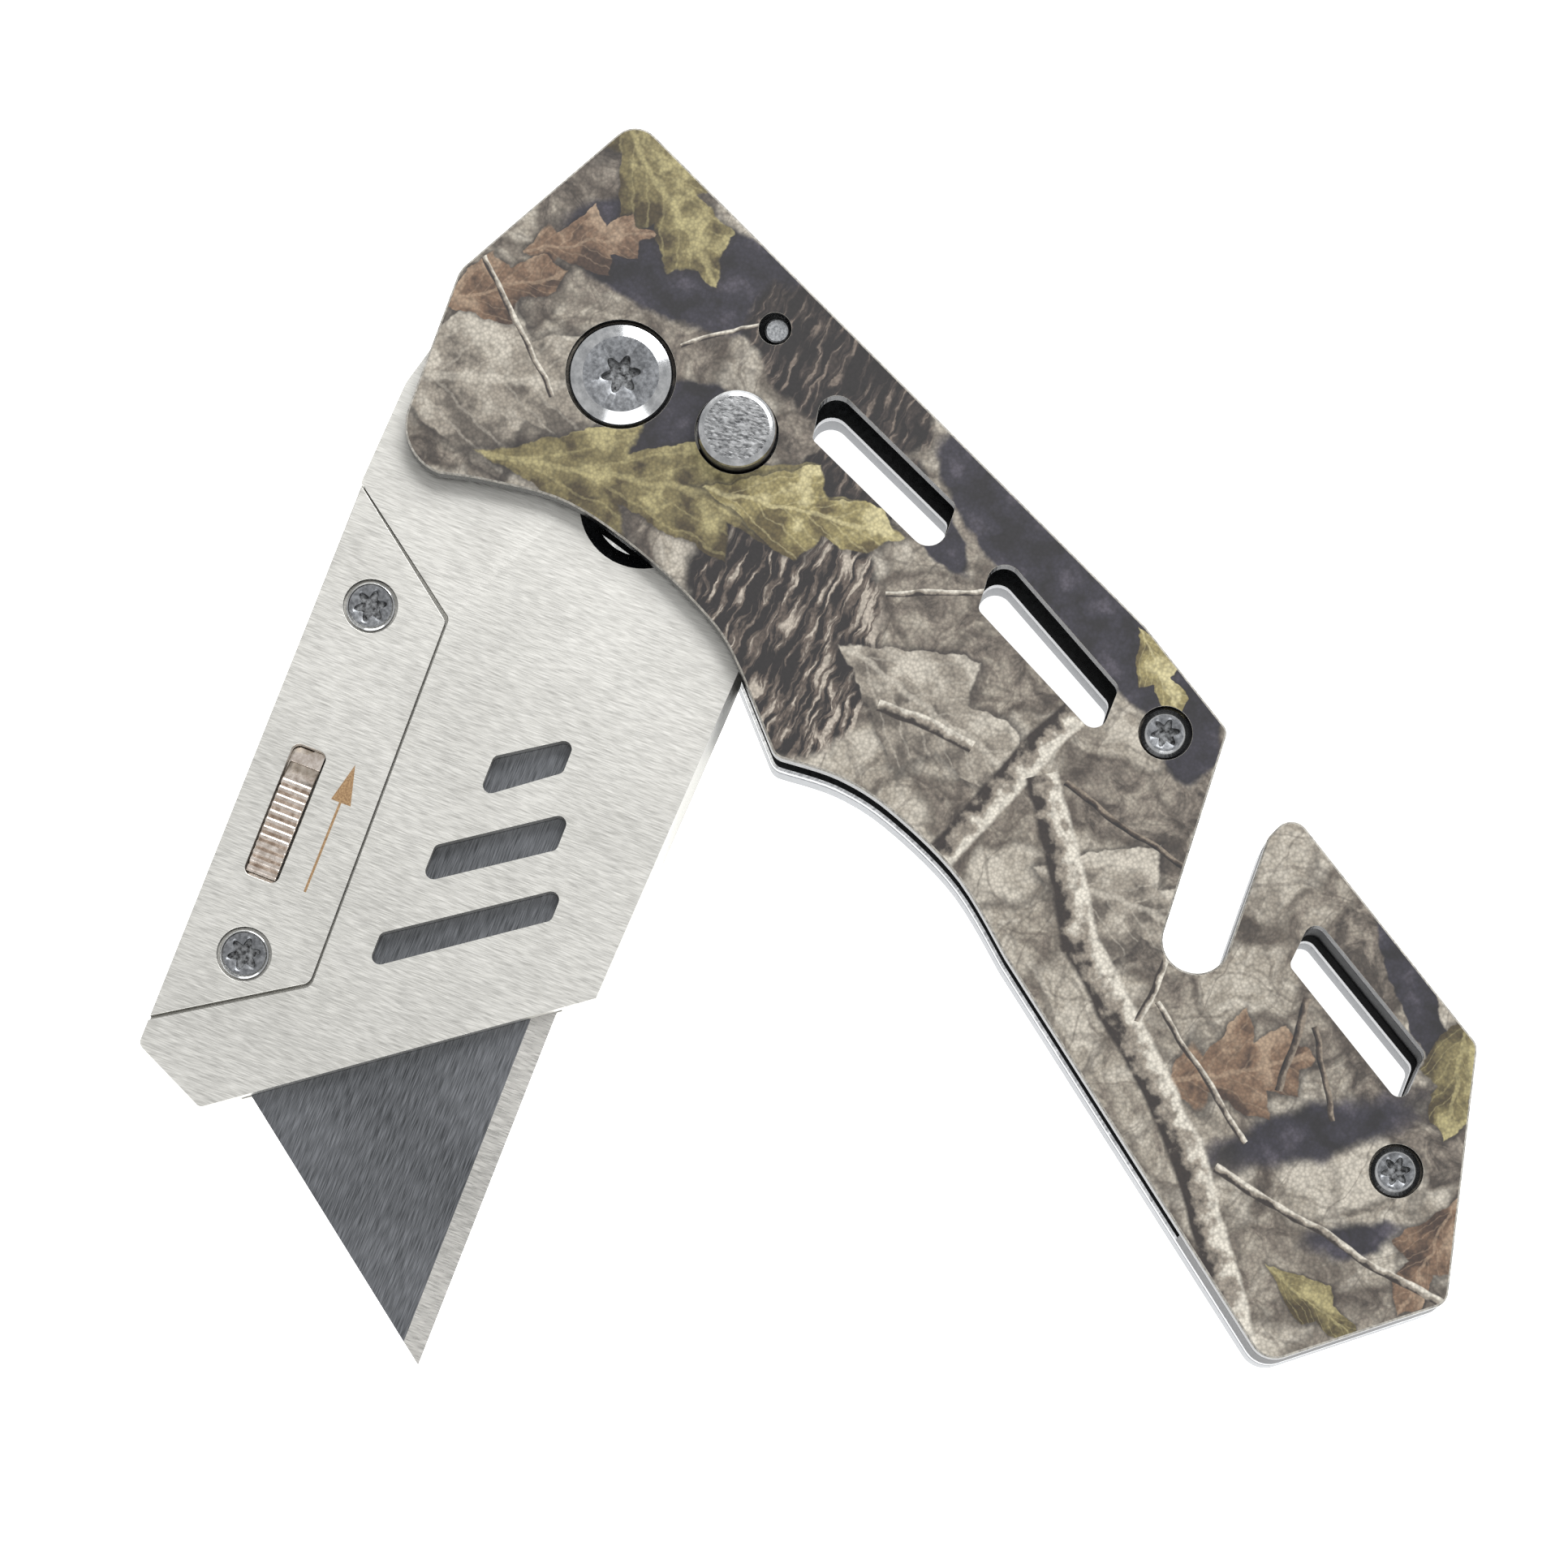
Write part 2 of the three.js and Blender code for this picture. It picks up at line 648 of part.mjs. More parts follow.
piece(knife, 'front_scale', frontScale(), MATERIALS.printedScale);
piece(knife, 'back_liner', backLiner(), MATERIALS.linerSteel);
piece(knife, 'back_scale', backScale(), MATERIALS.backScale);
piece(knife, 'spine_spacer', spacer(SPINE_SPACER_REGION, BODY_SCREWS.upper), MATERIALS.blackPlastic);
piece(knife, 'butt_spacer', spacer(BUTT_SPACER_REGION, BODY_SCREWS.butt), MATERIALS.blackPlastic);
piece(knife, 'stop_pin', stopPin(), MATERIALS.springSteel);
piece(knife, 'pivot_barrel', pivotBarrel(), MATERIALS.screwSteel);
piece(knife, 'pivot_screw', pivotScrew(), MATERIALS.screwSteel);
piece(knife, 'front_washer', washer(CARRIER_TOP + SEAT_GAP, FRONT_BOTTOM - SEAT_GAP), MATERIALS.bronze);
piece(knife, 'back_washer', washer(LINER_TOP + SEAT_GAP, CARRIER_BOTTOM - SEAT_GAP), MATERIALS.bronze);
piece(knife, 'body_screw_upper', bodyScrew(BODY_SCREWS.upper), MATERIALS.screwSteel);
piece(knife, 'body_screw_butt', bodyScrew(BODY_SCREWS.butt), MATERIALS.screwSteel);
piece(knife, 'button_spring', buttonSpring(), MATERIALS.springSteel);
piece(knife, 'lock_button', lockButton(), MATERIALS.screwSteel);

const carrier = new THREE.Group();
carrier.name = 'carrier';
carrier.rotation.z = REST_ANGLE;
knife.add(carrier);
piece(carrier, 'blade_carrier', bladeCarrier(), MATERIALS.brushedSteel);
piece(carrier, 'cover_plate', coverPlate(), MATERIALS.brushedSteel);
piece(carrier, 'cover_screw_upper', coverScrew(COVER_SCREWS.upper), MATERIALS.screwSteel);
piece(carrier, 'cover_screw_lower', coverScrew(COVER_SCREWS.lower), MATERIALS.screwSteel);
piece(carrier, 'utility_blade', utilityBlade(), MATERIALS.bladeSteel);
piece(carrier, 'latch_pin', latchPin(), MATERIALS.springSteel);
piece(carrier, 'slider_spring', sliderSpring(), MATERIALS.springSteel);
piece(carrier, 'release_slider', releaseSlider(), MATERIALS.nickel);
piece(carrier, 'blade_latch', bladeLatch(), MATERIALS.springSteel);

export default knife;
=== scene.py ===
# %% [markdown]
# # A folding utility knife
# The knife has a printed handle plate over a black gap and a steel liner, a brushed steel blade
# carrier that folds into that gap, a push-button lock, and a trapezoid blade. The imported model
# gives every piece its size and place. This lesson gives each visible piece rounded edges and a
# material made the way the real one is.

import math

import bmesh
import bpy
from mathutils import Matrix, Vector


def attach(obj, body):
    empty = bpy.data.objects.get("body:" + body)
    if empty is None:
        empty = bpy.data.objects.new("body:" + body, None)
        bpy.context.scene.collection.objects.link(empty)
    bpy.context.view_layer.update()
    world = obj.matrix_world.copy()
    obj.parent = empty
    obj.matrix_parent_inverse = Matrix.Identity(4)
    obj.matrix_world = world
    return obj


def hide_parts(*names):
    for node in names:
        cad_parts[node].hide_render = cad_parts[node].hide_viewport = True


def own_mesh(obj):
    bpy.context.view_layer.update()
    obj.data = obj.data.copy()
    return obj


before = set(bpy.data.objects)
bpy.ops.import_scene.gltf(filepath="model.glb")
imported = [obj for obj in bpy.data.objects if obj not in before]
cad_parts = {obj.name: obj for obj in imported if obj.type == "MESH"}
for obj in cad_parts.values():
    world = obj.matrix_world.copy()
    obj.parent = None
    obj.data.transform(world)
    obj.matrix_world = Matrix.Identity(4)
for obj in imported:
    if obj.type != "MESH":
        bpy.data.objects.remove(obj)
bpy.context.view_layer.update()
MM = 0.001
CARRIER_TURN = math.radians(-59.2)
print("CAD nodes:", len(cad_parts))

# %% [markdown]
# ## Small helpers
# Colours are chosen as sRGB hex values, which is how a paint or steel swatch is read, and the
# shader wants linear numbers, so one function turns them. One more adds a shader node with its
# settings, its inputs and, for a colour ramp, its stops. An input is a plain value, another
# node's output, or another node, which stands for its first output.


# %% Colour and node helpers
def linear(code):
    parts = [int(code[i : i + 2], 16) / 255 for i in (1, 3, 5)]
    curve = [c / 12.92 if c <= 0.04045 else ((c + 0.055) / 1.055) ** 2.4 for c in parts]
    return (*curve, 1.0)


def add(tree, kind, settings=None, inputs=None, stops=None):
    node = tree.nodes.new(kind)
    for key, value in (settings or {}).items():
        setattr(node, key, value)
    for key, value in (inputs or {}).items():
        if isinstance(value, bpy.types.Node):
            value = value.outputs[0]
        if isinstance(value, bpy.types.NodeSocket):
            tree.links.new(value, node.inputs[key])
        else:
            node.inputs[key].default_value = value
    for index, (place, code) in enumerate(stops or []):
        points = node.color_ramp.elements
        point = points[index] if index < len(points) else points.new(place)
        point.position = place
        point.color = linear(code)
    return node


def new_material(name, **shader):
    material = bpy.data.materials.new(name)
    material.use_nodes = True
    tree = material.node_tree
    bsdf = tree.nodes["Principled BSDF"]
    for key, value in shader.items():
        bsdf.inputs[key.replace("_", " ")].default_value = value
    return material, tree, bsdf


def millimetres(tree):
    here = add(tree, "ShaderNodeTexCoord").outputs["Object"]
    return add(tree, "ShaderNodeMapping", inputs={"Vector": here, "Scale": (1000, 1000, 1000)})


print("helpers ready")

# %% [markdown]
# ## Brushed steel
# The carrier is stainless sheet drawn under an abrasive belt. The belt leaves fine parallel
# scratches, a few hundredths of a millimetre apart and about a millimetre long. A noise pattern
# squeezed along one direction makes them, and it drives colour, roughness and a shallow bump, so
# the scratches catch light the way a real grain does. A broad soft noise adds the faint clouds
# that handling leaves. The scratches are drawn a little coarser than the true grit so they show.


# %% Brushed metal maker
def brushed(name, dark, light, roughness, grain_mm, run_mm, turn, bump):
    material, tree, bsdf = new_material(name, Metallic=1.0)
    here = millimetres(tree)
    run = {"Vector": here, "Rotation": (0, 0, turn), "Scale": (grain_mm, run_mm, grain_mm * 3)}
    squeezed = add(tree, "ShaderNodeMapping", {"vector_type": "TEXTURE"}, run)
    grain = add(tree, "ShaderNodeTexNoise", inputs={"Vector": squeezed, "Scale": 1.0, "Detail": 4.0})
    cloud = add(tree, "ShaderNodeTexNoise", inputs={"Vector": here, "Scale": 0.12, "Detail": 3.0})
    both = add(tree, "ShaderNodeMix", inputs={"Factor": 0.3, "A": grain, "B": cloud})
    tone = add(tree, "ShaderNodeValToRGB", inputs={"Fac": both}, stops=[(0.3, dark), (0.68, light)])
    spread = {"Value": grain, "From Min": 0.3, "From Max": 0.7}
    spread.update({"To Min": roughness - 0.06, "To Max": roughness + 0.08})
    dull = add(tree, "ShaderNodeMapRange", inputs=spread)
    scratch = {"Height": grain, "Strength": bump, "Distance": SCRATCH_DEPTH}
    relief = add(tree, "ShaderNodeBump", inputs=scratch)
    for socket, node in (("Base Color", tone), ("Roughness", dull), ("Normal", relief)):
        tree.links.new(node.outputs[0], bsdf.inputs[socket])
    return material


SCRATCH_DEPTH = 0.02 * MM
ACROSS = CARRIER_TURN
ALONG = CARRIER_TURN + math.pi / 2
print("brushed metal maker ready")

# %% [markdown]
# ## Which steel is brushed which way
# The carrier and its cover are brushed across their length. The blade's flat is ground along it
# and stays dark from the quench, while its edge is honed bright. The liner shows only its sheared
# rim, the back plate is satin aluminium, and the button's face is scuffed by thumbs in short
# strokes, so all of them are the same maker with other numbers.

# %% Brushed metals
carrier_steel = brushed(
    "belt_brushed_stainless",
    dark="#b2b1ac",
    light="#d3d2cd",
    roughness=0.38,
    grain_mm=0.07,
    run_mm=1.1,
    turn=ACROSS,
    bump=0.2,
)
blade_steel = brushed(
    "ground_carbon_steel",
    dark="#3f4143",
    light="#7d7f83",
    roughness=0.36,
    grain_mm=0.08,
    run_mm=1.6,
    turn=ALONG,
    bump=0.3,
)
honed_edge = brushed(
    "honed_carbon_steel",
    dark="#a9a8a4",
    light="#d2d0cb",
    roughness=0.3,
    grain_mm=0.08,
    run_mm=1.2,
    turn=ACROSS,
    bump=0.25,
)
liner_edge = brushed(
    "sheared_liner_steel",
    dark="#8f9194",
    light="#d5d6d8",
    roughness=0.26,
    grain_mm=0.2,
    run_mm=4.0,
    turn=0.0,
    bump=0.2,
)
back_metal = brushed(
    "satin_anodised_aluminium",
    dark="#7f8184",
    light="#a7a9ac",
    roughness=0.42,
    grain_mm=0.3,
    run_mm=0.5,
    turn=0.0,
    bump=0.3,
)
button_face = brushed(
    "scuffed_button_steel",
    dark="#3e4043",
    light="#b9babb",
    roughness=0.28,
    grain_mm=0.16,
    run_mm=0.42,
    turn=-0.9,
    bump=0.9,
)
print("brushed metals made")

# %% [markdown]
# ## Turned steel, plated steel and black coatings
# Screws, the button and the pivot are turned on a lathe, so their marks are fine rings. At this
# size the rings read as a slightly cloudy shine, with wear in the face. A small even noise gives
# that cloud, and it suits plating, moulded nylon and black oxide too, each with its own speck size.


# %% Turned, plated and coated finish maker
def worn(name, low, high, roughness, spread, speck_mm, bump, metallic=1.0):
    material, tree, bsdf = new_material(name, Metallic=metallic)
    fine = {"Vector": millimetres(tree), "Scale": 1 / speck_mm, "Detail": 5.0, "Roughness": 0.6}
    speck = add(tree, "ShaderNodeTexNoise", inputs=fine)
    tone = add(tree, "ShaderNodeValToRGB", inputs={"Fac": speck}, stops=[(0.35, low), (0.65, high)])
    limits = {"Value": speck, "To Min": roughness - spread, "To Max": roughness + spread}
    dull = add(tree, "ShaderNodeMapRange", inputs=limits)
    pits = {"Height": speck, "Strength": bump, "Distance": SCRATCH_DEPTH}
    relief = add(tree, "ShaderNodeBump", inputs=pits)
    for socket, node in (("Base Color", tone), ("Roughness", dull), ("Normal", relief)):
        tree.links.new(node.outputs[0], bsdf.inputs[socket])
    return material


print("turned finish maker ready")

# %% [markdown]
# ## The turned and coated finishes
# Each line gives a dark and a light tone, the mean roughness and how far it strays, the speck size
# in millimetres and the depth of the bump. Nickel is warm and almost mirror-like. The coats are
# not metal to the eye, so their metallic value is 0.

# %% Turned, plated and coated finishes
screw_steel = worn("turned_screw_steel", "#66686b", "#8d8f92", 0.32, 0.08, 0.3, 0.15)
polished_rim = worn("polished_pivot_rim", "#a9abad", "#d6d7d8", 0.14, 0.04, 0.8, 0.03)
socket_steel = worn("oiled_socket_steel", "#2a2a2b", "#9a9c9e", 0.3, 0.1, 0.35, 0.5)
nickel = worn("bright_nickel_plate", "#c2b4a8", "#f3e9e0", 0.13, 0.05, 0.5, 0.1)
spring_wire = worn("drawn_spring_wire", "#77797c", "#a8aaac", 0.3, 0.08, 0.2, 0.1)
washer_bronze = worn("phosphor_bronze", "#8a6738", "#b58a50", 0.38, 0.08, 0.4, 0.1)
engraved = worn("laser_annealed_steel", "#7d6246", "#a88a66", 0.42, 0.08, 0.15, 0.2, metallic=0.6)
black_plastic = worn("moulded_black_nylon", "#111214", "#1e2023", 0.5, 0.1, 0.25, 0.4, metallic=0.0)
black_coat = worn("black_oxide_coat", "#0d0e0f", "#191b1d", 0.28, 0.1, 0.4, 0.2, metallic=0.0)
film_edge = worn("bare_film_edge", "#6f6c66", "#a8a49b", 0.42, 0.1, 0.3, 0.2, metallic=0.0)
print("turned, plated and coated finishes made")

# %% [markdown]
# ## The woodland print
# The handle plate carries a printed film of leaves, bark and bare twigs. A photo-like print could
# be an image, but a pattern made of nodes is sharp at every distance and needs no file. It is
# built in layers, back to front: pale leaf litter, blue-black gaps, bark, leaves, then branches.
# Every layer is a mask and a colour, placed in real millimetres. The design is a plain woodland of
# its own. The helper below bends the position with noise, so that no edge is straight, and the
# two settings are for a soft-edged mask and for one colour over another.


# %% Bending and layering
def wander(tree, here, scale, reach, detail):
    noise = {"Vector": here, "Scale": scale, "Detail": detail}
    swirl = add(tree, "ShaderNodeTexNoise", inputs=noise).outputs["Color"]
    shift = {0: swirl, 1: (0.5, 0.5, 0.5)}
    centred = add(tree, "ShaderNodeVectorMath", {"operation": "SUBTRACT"}, shift)
    pushed = add(tree, "ShaderNodeVectorMath", {"operation": "SCALE"}, {0: centred, "Scale": reach})
    return add(tree, "ShaderNodeVectorMath", {"operation": "ADD"}, {0: here, 1: pushed})


# Map Range sockets 0 to 4 are the value, where the mask is full, where it ends, and both levels.
SOFT = {"interpolation_type": "SMOOTHSTEP", "clamp": False}
# Mix sockets 0, 6 and 7 are the mask, the colour below and the colour above. Output 2 is colour.
COLOUR = {"data_type": "RGBA"}
TIMES_PLUS = {"operation": "MULTIPLY_ADD"}
print("layering settings ready")

# %% [markdown]
# ## One stencil for each kind of print
# A leaf, a gap, a patch of bark and a stretch of branch are each drawn many times, so each is one
# node group, like a printer's stencil. It takes the place, the long and the short direction, three
# tones and the print so far, and returns the print with itself laid over. Inside it, x runs from
# -1 to 1 along the shape and y from -1 to 1 across it. Both come from a dot product, whose single
# number takes little of a renderer's memory, so a long chain of stencils still fits.


# %% Start and end of a stencil
def new_stencil(name):
    group = bpy.data.node_groups.new(name, "ShaderNodeTree")
    sockets = {
        "NodeSocketVector": ("Here", "Middle", "Along", "Across"),
        "NodeSocketColor": ("Under", "Dark", "Mid", "Light"),
        "NodeSocketFloat": ("Grain", "Extra"),
    }
    for kind, labels in sockets.items():
        for label in labels:
            group.interface.new_socket(label, in_out="INPUT", socket_type=kind)
    group.interface.new_socket("Print", in_out="OUTPUT", socket_type="NodeSocketColor")
    given = group.nodes.new("NodeGroupInput").outputs
    dot = {"operation": "DOT_PRODUCT"}
    offset = {0: given["Here"], 1: given["Middle"]}
    moved = add(group, "ShaderNodeVectorMath", {"operation": "SUBTRACT"}, offset)
    x = add(group, "ShaderNodeVectorMath", dot, {0: moved, 1: given["Along"]}).outputs["Value"]
    y = add(group, "ShaderNodeVectorMath", dot, {0: moved, 1: given["Across"]}).outputs["Value"]
    return group, given, x, y


def finish_stencil(group, under, tone, mask):
    laid = add(group, "ShaderNodeMix", COLOUR, {0: mask, 6: under, 7: tone}).outputs[2]
    group.links.new(laid, group.nodes.new("NodeGroupOutput").inputs["Print"])
    return group


print("stencil start and end ready")

# %% [markdown]
# ## Three tones and pressing a stencil
# A printed shape has a dark, a middle and a light ink. A level below the low mark is dark, above
# the high mark light, with soft steps between. Pressing a stencil gives it its place: the two
# directions are divided by the half length and half width, so x and y come out between -1 and 1.


# %% Tones and pressing
def three_tones(group, given, level, low, high):
    middle = (low + high) / 2
    dark = add(group, "ShaderNodeMapRange", SOFT, {0: level, 1: low, 2: middle, 3: 1.0, 4: 0.0})
    shades = {0: dark, 6: given["Mid"], 7: given["Dark"]}
    tone = add(group, "ShaderNodeMix", COLOUR, shades).outputs[2]
    light = add(group, "ShaderNodeMapRange", SOFT, {0: level, 1: high, 2: middle, 3: 1.0, 4: 0.0})
    return add(group, "ShaderNodeMix", COLOUR, {0: light, 6: tone, 7: given["Light"]}).outputs[2]


def press(tree, stencil, here, grain, under, centre, turn, length, width, tones, extra=0.0):
    lean = math.radians(turn)
    places = {
        "Here": here,
        "Middle": (*centre, 0),
        "Along": (math.cos(lean) / length, math.sin(lean) / length, 0),
        "Across": (-math.sin(lean) / width, math.cos(lean) / width, 0),
        "Under": under,
        "Grain": grain,
        "Extra": extra,
    }
    for label, code in zip(("Dark", "Mid", "Light"), tones):
        places[label] = linear(code)
    return add(tree, "ShaderNodeGroup", {"node_tree": stencil}, places).outputs[0]


print("tones and pressing ready")

# %% [markdown]
# ## Leaf litter
# Old leaves lie flat and overlap, so the ground is a field of large cells, each with its own grey
# and its own slope of tone. Where two cells meet there is a thin shadow, and three webs of long
# thin cells, turned three ways, are the dry stems that cross them.


# %% Litter
def dry_stems(tree, bent, tone, turn, stem_mm):
    spread = {"Vector": bent, "Rotation": (0, 0, math.radians(turn))}
    spread["Scale"] = (stem_mm, stem_mm * 9, FAR_MM)
    squeezed = add(tree, "ShaderNodeMapping", {"vector_type": "TEXTURE"}, spread)
    web = {"Vector": squeezed, "Scale": 1.0}
    stems = add(tree, "ShaderNodeTexVoronoi", {"feature": "DISTANCE_TO_EDGE"}, web)
    line = add(tree, "ShaderNodeMapRange", SOFT, {0: stems, 1: 0.01, 2: 0.035, 3: 0.34, 4: 0.0})
    return add(tree, "ShaderNodeMix", COLOUR, {0: line, 6: tone, 7: linear("#4d443c")}).outputs[2]


def leaf_litter(tree, flat):
    bent = wander(tree, flat, 0.16, 5.0, 3.0)
    spots = {"Vector": bent, "Scale": 0.15}
    smooth = {**spots, "Smoothness": 0.12}
    cells = add(tree, "ShaderNodeTexVoronoi", {"feature": "SMOOTH_F1"}, smooth)
    grey = add(tree, "ShaderNodeSeparateColor", inputs={"Color": cells.outputs["Color"]})
    fine = {"Vector": bent, "Scale": 0.5, "Detail": 9.0, "Roughness": 0.62, "Distortion": 0.6}
    grain = add(tree, "ShaderNodeTexNoise", inputs=fine)
    level = add(tree, "ShaderNodeMath", TIMES_PLUS, {0: grey, 1: 0.34, 2: -0.06})
    level = add(tree, "ShaderNodeMath", {"operation": "ADD"}, {0: level, 1: grain})
    slope = {0: cells.outputs["Distance"], 1: -0.16, 2: level}
    level = add(tree, "ShaderNodeMath", TIMES_PLUS, slope)
    greys = [(0.3, "#463f39"), (0.42, "#756c62"), (0.54, "#958d80"), (0.72, "#b9b2a5")]
    tone = add(tree, "ShaderNodeValToRGB", inputs={"Fac": level}, stops=greys)
    rims = add(tree, "ShaderNodeTexVoronoi", {"feature": "DISTANCE_TO_EDGE"}, spots)
    line = add(tree, "ShaderNodeMapRange", SOFT, {0: rims, 1: 0.01, 2: 0.09, 3: 0.5, 4: 0.0})
    shaded = {0: line, 6: tone, 7: linear("#3c342e")}
    tone = add(tree, "ShaderNodeMix", COLOUR, shaded).outputs[2]
    for turn, stem_mm in ((22, 3.0), (-48, 4.2), (78, 5.0)):
        tone = dry_stems(tree, bent, tone, turn, stem_mm)
    return tone


FAR_MM = 1000
print("litter ready")

# %% [markdown]
# ## Gaps and bark
# Between the leaves nothing is lit, and those gaps are blue-black ovals whose edge may be crisp or
# soft. Bark splits into long ridges, so its noise is squeezed one way, and its tones jump from
# black to pale. One side of a bark patch catches more light than the other.


# %% Gap and bark stencils
def oval_distance(group, x, y):
    square = add(group, "ShaderNodeMath", {"operation": "MULTIPLY"}, {0: x, 1: x})
    return add(group, "ShaderNodeMath", TIMES_PLUS, {0: y, 1: y, 2: square})


def gap_stencil():
    group, given, x, y = new_stencil("gap_between_leaves")
    far = oval_distance(group, x, y)
    inner = add(group, "ShaderNodeMath", {"operation": "SUBTRACT"}, {0: 1.0, 1: given["Extra"]})
    outer = add(group, "ShaderNodeMath", {"operation": "ADD"}, {0: 1.0, 1: given["Extra"]})
    tone = three_tones(group, given, given["Grain"], 0.36, 0.7)
    mask = add(group, "ShaderNodeMapRange", SOFT, {0: far, 1: inner, 2: outer, 3: 1.0, 4: 0.0})
    return finish_stencil(group, given["Under"], tone, mask)


def bark_stencil():
    group, given, x, y = new_stencil("split_bark")
    lit = {0: y, 1: given["Extra"], 2: given["Grain"]}
    level = add(group, "ShaderNodeMath", TIMES_PLUS, lit)
    tone = three_tones(group, given, level, 0.46, 0.64)
    far = oval_distance(group, x, y)
    mask = add(group, "ShaderNodeMapRange", SOFT, {0: far, 1: 0.86, 2: 1.1, 3: 1.0, 4: 0.0})
    return finish_stencil(group, given["Under"], tone, mask)


def bark_ridges(tree, here):
    run = {"Vector": here, "Rotation": (0, 0, math.radians(116)), "Scale": (3.2, 0.6, FAR_MM)}
    squeezed = add(tree, "ShaderNodeMapping", {"vector_type": "TEXTURE"}, run)
    split = {"Vector": squeezed, "Scale": 1.0, "Detail": 5.0, "Distortion": 0.5}
    return add(tree, "ShaderNodeTexNoise", inputs=split)


gap, bark = gap_stencil(), bark_stencil()
print("gap and bark stencils ready")

# %% [markdown]
# ## Leaves
# A leaf is a long oval whose half-width falls to a notch and rises to a lobe along its length,
# leaning toward the tip. One half is darker, side veins lean off a pale midrib, and the leaf
# throws a dark rim on what lies under it. The extra number is how far a lobe lies from a notch.


# %% Leaf stencil
def leaf_outside(group, given, x, half):
    lean = add(group, "ShaderNodeMath", TIMES_PLUS, {0: half, 1: -0.55, 2: x})
    tooth = add(group, "ShaderNodeMath", {"operation": "PINGPONG"}, {0: lean, 1: given["Extra"]})
    lobe = add(group, "ShaderNodeMath", {"operation": "DIVIDE"}, {0: tooth, 1: given["Extra"]})
    lobed = add(group, "ShaderNodeMath", TIMES_PLUS, {0: lobe, 1: 0.6, 2: 0.4})
    square = add(group, "ShaderNodeMath", {"operation": "MULTIPLY"}, {0: x, 1: x})
    oval = add(group, "ShaderNodeMath", {"operation": "SUBTRACT"}, {0: 1.0, 1: square})
    rim = add(group, "ShaderNodeMath", {"operation": "MULTIPLY"}, {0: lobed, 1: oval})
    return add(group, "ShaderNodeMath", {"operation": "SUBTRACT"}, {0: half, 1: rim})


def veined(group, given, tone, x, half):
    side = add(group, "ShaderNodeMath", TIMES_PLUS, {0: half, 1: -0.9, 2: x})
    vein = add(group, "ShaderNodeMath", {"operation": "PINGPONG"}, {0: side, 1: 0.13})
    line = add(group, "ShaderNodeMapRange", SOFT, {0: vein, 1: 0.006, 2: 0.03, 3: 0.3, 4: 0.0})
    tone = add(group, "ShaderNodeMix", COLOUR, {0: line, 6: tone, 7: given["Light"]}).outputs[2]
    rib = add(group, "ShaderNodeMapRange", SOFT, {0: half, 1: 0.02, 2: 0.07, 3: 0.6, 4: 0.0})
    return add(group, "ShaderNodeMix", COLOUR, {0: rib, 6: tone, 7: given["Light"]}).outputs[2]


def leaf_stencil():
    group, given, x, y = new_stencil("oak_leaf")
    half = add(group, "ShaderNodeMath", {"operation": "ABSOLUTE"}, {0: y})
    outside = leaf_outside(group, given, x, half)
    level = add(group, "ShaderNodeMath", TIMES_PLUS, {0: y, 1: 0.14, 2: given["Grain"]})
    tone = veined(group, given, three_tones(group, given, level, 0.36, 0.66), x, half)
    dim = add(group, "ShaderNodeMapRange", SOFT, {0: outside, 1: 0.0, 2: 0.22, 3: 0.6, 4: 0.0})
    shadow = {0: dim, 6: given["Under"], 7: linear("#1c181a")}
    cast = add(group, "ShaderNodeMix", COLOUR, shadow).outputs[2]
    mask = add(group, "ShaderNodeMapRange", SOFT, {0: outside, 1: -0.02, 2: 0.03, 3: 1.0, 4: 0.0})
    return finish_stencil(group, cast, tone, mask)


leaf = leaf_stencil()
print("leaf stencil ready")

# %% [markdown]
# ## Branches and twigs
# A branch is a chain of straight bands, dark on one side and pale on the other, and the bent
# position makes them wander. Each band is a little longer than its stretch, so the joints close.


# %% Branch stencil
def branch_stencil():
    group, given, x, y = new_stencil("bare_branch")
    level = add(group, "ShaderNodeMath", TIMES_PLUS, {0: y, 1: 0.3, 2: given["Grain"]})
    tone = three_tones(group, given, level, 0.3, 0.7)
    ends = add(group, "ShaderNodeMath", {"operation": "ABSOLUTE"}, {0: x})
    sides = add(group, "ShaderNodeMath", {"operation": "ABSOLUTE"}, {0: y})
    span = add(group, "ShaderNodeMath", {"operation": "LESS_THAN"}, {0: ends, 1: 1.0})
    edge = add(group, "ShaderNodeMapRange", SOFT, {0: sides, 1: 0.8, 2: 1.1, 3: 1.0, 4: 0.0})
    mask = add(group, "ShaderNodeMath", {"operation": "MULTIPLY"}, {0: span, 1: edge})
    return finish_stencil(group, given["Under"], tone, mask)


def grow_branch(tree, here, grain, under, path, half_mm, tones):
    for start, end in zip(path, path[1:]):
        dx, dy = end[0] - start[0], end[1] - start[1]
        middle = ((start[0] + end[0]) / 2, (start[1] + end[1]) / 2)
        length = math.hypot(dx, dy) / 2 + half_mm * 0.3
        turn = math.degrees(math.atan2(dy, dx))
        under = press(tree, branch, here, grain, under, middle, turn, length, half_mm, tones)
    return under


branch = branch_stencil()
print("branch stencil ready")

# %% [markdown]
# ## Inks and where the gaps and bark lie
# Each ink set is dark, middle, light. Places run along the plate from the pivot, at 0, to the
# butt, near 92 mm. A place is a centre, a turn in degrees, a half length and a half width, all in
# millimetres. The bark's last number is how much more its upper side is lit.

